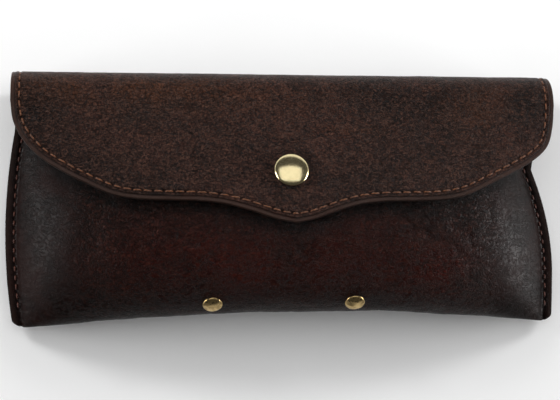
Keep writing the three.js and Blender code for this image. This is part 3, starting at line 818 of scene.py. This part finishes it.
def make_pouch_lining():
    """The lining of the body, from the mouth's edge round to the split in the top fold."""
    near = 1 - np.array((0, 0.2, 0.6, 1.5, 3.0, 5.0)) / BODY_HALF
    u_line = np.concatenate([near, np.linspace(near[-1], -near[-1], 90)[1:-1], -near[::-1]])
    q_line = np.concatenate([np.linspace(Q_LIP, Q_FLAT, 120, endpoint=False),
                             np.linspace(Q_FLAT, 1, 20)])
    q, across = [a.ravel() for a in np.meshgrid(q_line, -u_line, indexing="ij")]
    shape = (len(q_line), len(u_line))
    reach = lerp(0.945, 0.992, smooth((q - 0.865) / 0.035))  # wider where nothing is sewn to it
    u = across * reach
    outer = body_surface(u, q, LEATHER + 0.02)
    inner = body_surface(u, q, LEATHER + LINING)
    cut_edge_and_groove_shade = smooth(1 - (reach - np.abs(u)) * BODY_HALF / 0.4)
    piece = make_mesh("pouch_lining", np.vstack([outer, inner]), shell_faces(*shape), SUEDE,
                      {"cut_edge_and_groove_shade": np.concatenate([cut_edge_and_groove_shade, cut_edge_and_groove_shade])})
    tidy_mesh(piece, 60)
    blend_fold(piece)
    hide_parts("back_lining", "front_lining")


# ---- Stitches ----

def stitches(name, places, normals, alongs, lengths, material, width=0.28):
    """One short fat strand for each stitch, its ends pulled down into the leather."""
    ring, steps = 8, 9
    points, faces, plies = [], [], []
    for place, normal, along, length in zip(places, normals, alongs, lengths):
        side = np.cross(normal, along)
        first = len(points)
        for i in range(steps + 1):
            t = i / steps * 2 - 1
            taper = math.sqrt(max(0.0, 1 - abs(t) ** 3.2)) * 0.72 + 0.18
            lift = 0.10 - 0.62 * abs(t) ** 3
            middle = place + along * (t * length / 2) + normal * lift
            for j in range(ring):
                turn = 2 * math.pi * j / ring
                out = side * math.cos(turn) * width + normal * math.sin(turn) * width * 0.72
                points.append(middle + out * taper)
                plies.append(0.5 + 0.5 * math.cos(2 * turn + i * 1.7))
        for i in range(steps):
            for j in range(ring):
                k = (j + 1) % ring
                a = first + i * ring
                faces.append((a + j, a + k, a + ring + k, a + ring + j))
        faces.append(tuple(first + j for j in reversed(range(ring))))
        faces.append(tuple(first + steps * ring + j for j in range(ring)))
    piece = make_mesh(name, np.array(points), faces, material, {"ply": plies})
    return tidy_mesh(piece, 70)


def flap_stitches():
    line = flap_edge(1400)
    way = inward(line)
    seam = line + way * SEAM_IN
    edge_run = run_along(line)
    count = int(edge_run[-1] / PITCH_FLAP)
    places, normals, alongs, lengths = [], [], [], []
    rng = np.random.default_rng(5)
    for i in range(count):
        ends = []
        for share in (0.05, 0.95):
            at = (i + share) * PITCH_FLAP
            ends.append([np.interp(at, edge_run, seam[:, 0]), np.interp(at, edge_run, seam[:, 1])])
        ends = np.array(ends)
        if ends[:, 1].min() < 0.6:
            continue
        place, normal = flap_surface(ends[:, 0], ends[:, 1])
        along = place[1] - place[0]
        length = np.linalg.norm(along)
        along /= length
        tilt = np.cross(normal[0], along) * rng.normal(0, 0.05)
        along = (along + tilt) / np.linalg.norm(along + tilt)
        places.append(place.mean(0) + normal.mean(0) * -STITCH_SINK)
        normals.append(normal.mean(0))
        alongs.append(along)
        lengths.append(length * rng.uniform(0.94, 1.06))
    piece = stitches("flap_stitches", places, normals, alongs, lengths, FLAP_THREAD)
    blend_flap(piece)
    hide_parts("flap_thread")


def fold_stitches(name, side, node):
    """The flap's seam runs on over the end of the top fold and down to the back."""
    places, normals, alongs, lengths = [], [], [], []
    x = side * (FLAP_HALF - SEAM_IN)
    angle = SPLIT - 0.75 * PITCH_FLAP / FOLD_R
    while angle > -math.pi / 2 - 0.4:
        turn = max(angle, -math.pi / 2)
        past = (turn - angle) * FOLD_R
        normal = np.array((0, math.cos(turn), math.sin(turn)))
        along = np.array((0, -math.sin(turn), math.cos(turn)))
        place = np.array((x, FOLD_Y, FOLD_R)) + normal * (FOLD_R - STITCH_SINK) - along * past
        places.append(place)
        normals.append(normal)
        alongs.append(along)
        lengths.append(PITCH_FLAP * 0.72)
        angle -= PITCH_FLAP / FOLD_R
    piece = stitches(name, places, normals, alongs, lengths, FLAP_THREAD)
    blend_fold(piece)
    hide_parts(node)


def side_stitches(name, side, node):
    """The side seam, which shows on the front and on the back."""
    places, normals, alongs, lengths = [], [], [], []
    rng = np.random.default_rng(7 + side)
    count = int((SEAM_TOP - SEAM_LOW) / PITCH_SIDE)
    for face in (1, -1):
        for i in range(count):
            y = SEAM_TOP - np.array((i + 0.16, i + 0.84)) * PITCH_SIDE
            x = side * (half_width(y, side < 0) - SEAM_IN)
            z = FLANGE_LIFT + (FLANGE_THICK if face > 0 else 0)
            ends = np.column_stack([x, y, np.full(2, z)])
            if y.min() > 21 and face < 0:
                continue
            along = ends[1] - ends[0]
            length = np.linalg.norm(along)
            places.append(ends.mean(0) - np.array((0, 0, face * STITCH_SINK)))
            normals.append(np.array((0, 0, face), float))
            alongs.append(along / length)
            lengths.append(length * rng.uniform(0.95, 1.05))
    piece = stitches(name, places, normals, alongs, lengths, SIDE_THREAD, 0.3)
    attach(piece, "pouch")
    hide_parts(node)


# ---- Snap and rivets ----

def snap_axis():
    s = s_at(np.array([0.0]), np.array([SNAP_Y]))
    place, normal = flap_surface(np.array([0.0]), s)
    return place[0], normal[0]


def front_depth(place, axis):
    """How far the front lies below the flap's face, down the snap's axis."""
    depth = 0.0
    while True:
        at = place - axis * depth
        if at[2] <= BODY_THICK - FRONT_FALL * (at[1] - BULGE_Y) ** 2:
            return depth
        depth += 0.01


def add_turned(name, profile, material, body, slot_name, node, origin, axis, **more):
    piece = turned(name, rounded(profile), 96, material, origin, axis, **more)
    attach(piece, body)
    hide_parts(node)


def make_snap():
    place, axis = snap_axis()
    deep = front_depth(place, axis)
    front = place - axis * deep
    cap = [
        (0, 0.1), (4.4, 0.1), (5.1, 0.02), (5.42, 0.22), (5.5, 0.5), (5.43, 0.78), (5.2, 1.0),
        (4.95, 1.16), (4.6, 1.34), (4.05, 1.58), (3.3, 1.84), (2.5, 2.05), (1.7, 2.2),
        (0.8, 2.29), (0, 2.32),
    ]
    add_turned("snap_cap_shaped", cap, PALE_GOLD, "flap", "snap_metal", "snap_cap", place, axis)
    roof, floor = -(LEATHER + LINING - 0.1), -(deep - 0.8)
    socket = [
        (1.8, roof), (1.8, roof - 0.35), (3.3, roof - 0.4), (3.3, floor + 0.25), (3.6, floor),
        (4.5, floor), (4.9, floor + 0.4), (4.9, roof + 0.15), (4.7, roof), (1.8, roof),
    ]
    add_turned("snap_socket_shaped", socket, ANTIQUE, "flap", "rivet_metal", "snap_socket",
               place, axis)
    stud = [
        (0, -0.3), (4.1, -0.3), (4.1, 0.2), (3.6, 0.5), (2.3, 0.58), (1.85, 0.75), (1.75, 1.05),
        (2.0, 1.35), (1.75, 1.62), (1.1, 1.74), (0, 1.76),
    ]
    add_turned("snap_stud_shaped", stud, PALE_GOLD, "pouch", "snap_metal", "snap_stud",
               front, axis)
    seat = -(LEATHER + LINING + 0.3)
    post = [(0, seat - 0.55), (3.5, seat - 0.5), (4.0, seat - 0.25), (3.9, seat + 0.2),
            (1.1, seat + 0.3), (0, seat + 0.3)]
    add_turned("snap_post_shaped", post, ANTIQUE, "pouch", "rivet_metal", "snap_post",
               front, axis)


def make_rivets():
    for x, side, seed in zip(RIVET_X, ("left", "right"), (3, 9)):
        u = np.array([x / half_width(BOTTOM_Y, x < 0)])
        q = np.array([lerp(Q_BOTTOM, Q_FRONT, RIVET_TURN / (math.pi / 2))])
        place = body_surface(u, q, 0)[0]
        step = 1e-3
        along = body_surface(u, q + step, 0)[0] - place
        across = body_surface(u + step, q, 0)[0] - place
        axis = np.cross(along, across)
        axis /= np.linalg.norm(axis)
        cap = [
            (0, -0.1), (2.85, -0.12), (3.12, 0.05), (3.25, 0.35), (3.15, 0.62), (2.8, 0.88),
            (2.1, 1.12), (1.2, 1.3), (0, 1.38),
        ]
        add_turned("rivet_cap_shaped_" + side, cap, ANTIQUE, "pouch", "rivet_metal",
                   "rivet_cap_" + side, place, axis, dents=0.14, seed=seed)
        seat = -(LEATHER + LINING + 2.2)
        post = [(0, seat - 0.6), (2.6, seat - 0.55), (3.1, seat - 0.3), (3.0, seat),
                (1.1, seat + 0.1), (1.1, -0.3), (0, -0.3)]
        add_turned("rivet_post_shaped_" + side, post, ANTIQUE, "pouch", "rivet_metal",
                   "rivet_post_" + side, place, axis)


def make_stay():
    """The strip inside the bottom fold that the rivets hold."""
    half_u = STAY_HALF / BOTTOM_HALF
    u_line = np.linspace(-half_u, half_u, 60)
    q_line = np.linspace(Q_BOTTOM, lerp(Q_BOTTOM, Q_FRONT, 0.53), 30)
    q, u = [a.ravel() for a in np.meshgrid(q_line, u_line, indexing="ij")]
    reach = np.minimum((half_u - np.abs(u)) * BOTTOM_HALF, 9)
    from_depth = LEATHER + LINING + 0.25
    outer = body_surface(u, q, from_depth + edge_round(reach, 0.4))
    inner = body_surface(u, q, from_depth + LEATHER - edge_round(reach, 0.4))
    count = len(outer) * 2
    piece = make_mesh("bottom_stay_shaped", np.vstack([outer, inner]),
                      shell_faces(len(q_line), len(u_line)), BODY_LEATHER,
                      {k: np.zeros(count) for k in ("warm", "dark_tone_and_shade", "edge_wear_and_highlight", "taut", "cut_edge_and_groove_shade")})
    tidy_mesh(piece, 60)
    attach(piece, "pouch")
    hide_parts("bottom_stay")


# ---- Camera, light and floor ----

def aim(thing, target):
    """Points a camera or light at target, with the frame's +Y up in its view."""
    back = (thing.location - Vector(target)).normalized()
    right = Vector((0, 1, 0)).cross(back).normalized()
    turn = Matrix((right, back.cross(right), back)).transposed()
    thing.rotation_euler = turn.to_euler()


def make_camera():
    camera = bpy.data.objects.new("camera", bpy.data.cameras.new("camera"))
    bpy.context.collection.objects.link(camera)
    turn = math.radians(6.2)
    roll = math.radians(0.2)
    distance = 0.48
    target = Vector((np.array((-2.25, -0.56, 20)) + SHIFT) * MM)
    camera.location = target + distance * Vector((-math.sin(turn), 0, math.cos(turn)))
    aim(camera, target)
    camera.rotation_euler.rotate_axis("Z", roll)
    camera.data.lens = 94.9
    camera.data.sensor_width = 36
    camera.data.clip_start = 0.01
    bpy.context.scene.camera = camera


def softbox(name, place, target, size, power, shiny=True):
    """A soft light, which only lights and isn't mirrored when shiny is False."""
    light = bpy.data.lights.new(name, "AREA")
    light.shape = "RECTANGLE"
    light.size, light.size_y = size
    light.energy = power
    made = bpy.data.objects.new(name, light)
    made.visible_glossy = shiny
    bpy.context.collection.objects.link(made)
    made.location = place
    aim(made, target)


def make_stage():
    floor = Nodes("floor_finish", Roughness=0.8)
    grain = floor.noise(60, 2)
    colour = floor.mix(floor.remap(grain, 0.3, 0.7), (0.96, 0.96, 0.96), (0.98, 0.98, 0.98))
    floor.finish(Base_Color=colour)
    half = 2.0
    mesh = bpy.data.meshes.new("floor")
    mesh.from_pydata([(-half, -half, 0), (half, -half, 0), (half, half, 0), (-half, half, 0)],
                     [], [(0, 1, 2, 3)])
    mesh.materials.append(floor.material)
    made = bpy.data.objects.new("floor", mesh)
    made.location.z = -0.0002
    bpy.context.collection.objects.link(made)
    softbox("canopy", (0.0, 0.42, 0.91), (0, 0, 0.02), (1.4, 0.95), 4.7)
    softbox("key_left", (-0.8, 0.85, 0.62), (0, 0, 0.02), (0.4, 0.3), 8.0, shiny=False)
    softbox("key_right", (0.8, 0.85, 0.62), (0, 0, 0.02), (0.4, 0.3), 7.0, shiny=False)
    softbox("left", (-1.0, 0.0, 0.28), (0, 0, 0.02), (0.3, 0.6), 5.2)
    softbox("right", (1.0, 0.0, 0.20), (0, 0, 0.02), (0.24, 0.6), 7.5)
    world = bpy.data.worlds.new("studio")
    world.use_nodes = True
    world.node_tree.nodes["Background"].inputs["Color"].default_value = (1, 1, 1, 1)
    world.node_tree.nodes["Background"].inputs["Strength"].default_value = 0.06
    bpy.context.scene.world = world
    bpy.context.scene.view_settings.view_transform = "Standard"


def finish_cad(node, material):
    """Gives a CAD node that stays its better material."""
    piece = bpy.data.objects[node]
    piece.data.materials.clear()
    piece.data.materials.append(material)


make_camera()
make_body()
make_flap()
make_pouch_lining()
flap_stitches()
for side_name, side_sign in (("left", -1), ("right", 1)):
    fold_stitches("fold_stitches_" + side_name, side_sign, "spine_thread_" + side_name)
    side_stitches("side_stitches_" + side_name, side_sign, "seam_thread_" + side_name)
make_snap()
make_rivets()
make_stay()
finish_cad("snap_spring", PALE_GOLD)
make_stage()
